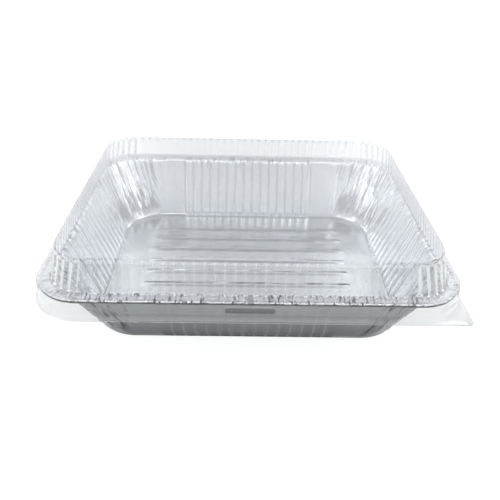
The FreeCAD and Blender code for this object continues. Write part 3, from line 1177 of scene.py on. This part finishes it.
# %% Sky
# Tones are pairs of a place, from 0 to 1, and a brightness, where 1 is white.
FRONT_TO_BACK = [(0.0, 0.88), (0.2, 1.02), (0.6, 1.02), (0.9, 1.2)]
MIDDLE_TO_SIDES = [(0.0, 0.66), (0.12, 0.7), (0.26, 1.55), (0.5, 1.55),
                   (0.62, 0.6), (0.75, 0.5), (0.9, 0.8)]
HORIZON_TO_TOP = [(0.0, 1.0), (0.7, 1.0), (0.95, 0.6)]
WHITE_UP_TO = 0.22
STRIPS_FROM = 0.34


def tones_along(tree, tones):
    """A grey ramp from (place, brightness) pairs."""
    made = tree.nodes.new("ShaderNodeValToRGB")
    while len(made.color_ramp.elements) < len(tones):
        made.color_ramp.elements.new(0.5)
    for element, (position, level) in zip(made.color_ramp.elements, tones):
        element.position = position
        element.color = (level * 0.98, level * 0.99, level, 1)
    return made


def product(tree, first, second):
    """Two tones multiplied, as a (node, socket) pair like theirs."""
    made = node(tree, "ShaderNodeMix", data_type="RGBA", blend_type="MULTIPLY")
    made.inputs[0].default_value = 1.0
    join(tree, (first, (made, 6)), (second, (made, 7)))
    return made, 2


def soft_sky():
    """The world: white along the horizon, with strips of light above it."""
    world = bpy.data.worlds.new("sky")
    world.use_nodes = True
    tree = world.node_tree
    tree.nodes.clear()
    place = tree.nodes.new("ShaderNodeTexCoord")
    split = tree.nodes.new("ShaderNodeSeparateXYZ")
    depth = stretch(tree, start=-1.0)
    sideways = node(tree, "ShaderNodeMath", operation="ABSOLUTE")
    front_to_back = tones_along(tree, FRONT_TO_BACK)
    strips = tones_along(tree, MIDDLE_TO_SIDES)
    overhead = tones_along(tree, HORIZON_TO_TOP)
    graded = product(tree, product(tree, (front_to_back, "Color"), (strips, "Color")), (overhead, "Color"))
    above = stretch(tree, WHITE_UP_TO, STRIPS_FROM)
    horizon = node(tree, "ShaderNodeMix", data_type="RGBA")
    horizon.inputs[6].default_value = (1, 1, 1, 1)
    light = node(tree, "ShaderNodeBackground", Strength=1.0)
    out = tree.nodes.new("ShaderNodeOutputWorld")
    join(tree, ((place, "Generated"), (split, "Vector")),
         ((split, "Y"), (depth, "Value")), ((depth, "Result"), (front_to_back, "Fac")),
         ((split, "X"), (sideways, 0)), ((sideways, "Value"), (strips, "Fac")),
         ((split, "Z"), (overhead, "Fac")), ((split, "Z"), (above, "Value")),
         ((above, "Result"), (horizon, 0)), (graded, (horizon, 7)),
         ((horizon, 2), (light, "Color")), ((light, "Background"), (out, "Surface")))
    return world


bpy.context.scene.world = soft_sky()
print("world", bpy.context.scene.world.name)

# %% [markdown]
# Three weak softboxes stand for the photographer's lamps. They add the small bright glints that a sky
# can't give, at a level that leaves the foil's own tones as they are.

# %% Lamps
LAMP_AIM = Vector((0, 0, 0.05))


def softbox(name, place, width, height, watts):
    """A rectangular lamp that points at the pan."""
    lamp = bpy.data.lights.new(name, "AREA")
    lamp.shape = "RECTANGLE"
    lamp.size = width
    lamp.size_y = height
    lamp.energy = watts
    holder = bpy.data.objects.new(name, lamp)
    holder.location = place
    holder.rotation_euler = (LAMP_AIM - Vector(place)).to_track_quat("-Z", "Y").to_euler()
    bpy.context.scene.collection.objects.link(holder)


softbox("left_softbox", (-1.1, -0.4, 0.9), 0.4, 0.8, 4)
softbox("right_softbox", (1.1, -0.2, 0.9), 0.4, 0.8, 4)
softbox("front_softbox", (-0.3, -1.2, 1.2), 0.5, 0.3, 1.6)

# %% [markdown]
# The camera stands where the photographer did: in front of the long side, half a metre away, looking down
# by about a third of a right angle and rolled by less than two degrees. A lens of 38 mm on a full frame
# gives the strong perspective that makes the front of the pan so much wider than its back.

# %% Camera
CAMERA_PLACE = Vector((-8.8, -430.0, 303.1)) * MM
CAMERA_AIM = Vector((0.7, -49.4, 52.6)) * MM
CAMERA_ROLL = math.radians(1.66)
FOCAL_PIXELS = 529.8
FRAME_PIXELS = 500
FULL_FRAME = 36
camera_data = bpy.data.cameras.new("camera")
camera_data.sensor_width = FULL_FRAME
camera_data.lens = FULL_FRAME * FOCAL_PIXELS / FRAME_PIXELS
camera = bpy.data.objects.new("camera", camera_data)
aim = (CAMERA_AIM - CAMERA_PLACE).to_track_quat("-Z", "Y").to_matrix().to_4x4()
camera.matrix_world = Matrix.Translation(CAMERA_PLACE) @ aim @ Matrix.Rotation(CAMERA_ROLL, 4, "Z")
bpy.context.scene.collection.objects.link(camera)
bpy.context.scene.camera = camera
bpy.context.scene.view_settings.view_transform = "Standard"
print("lens", round(camera_data.lens, 1), "mm")
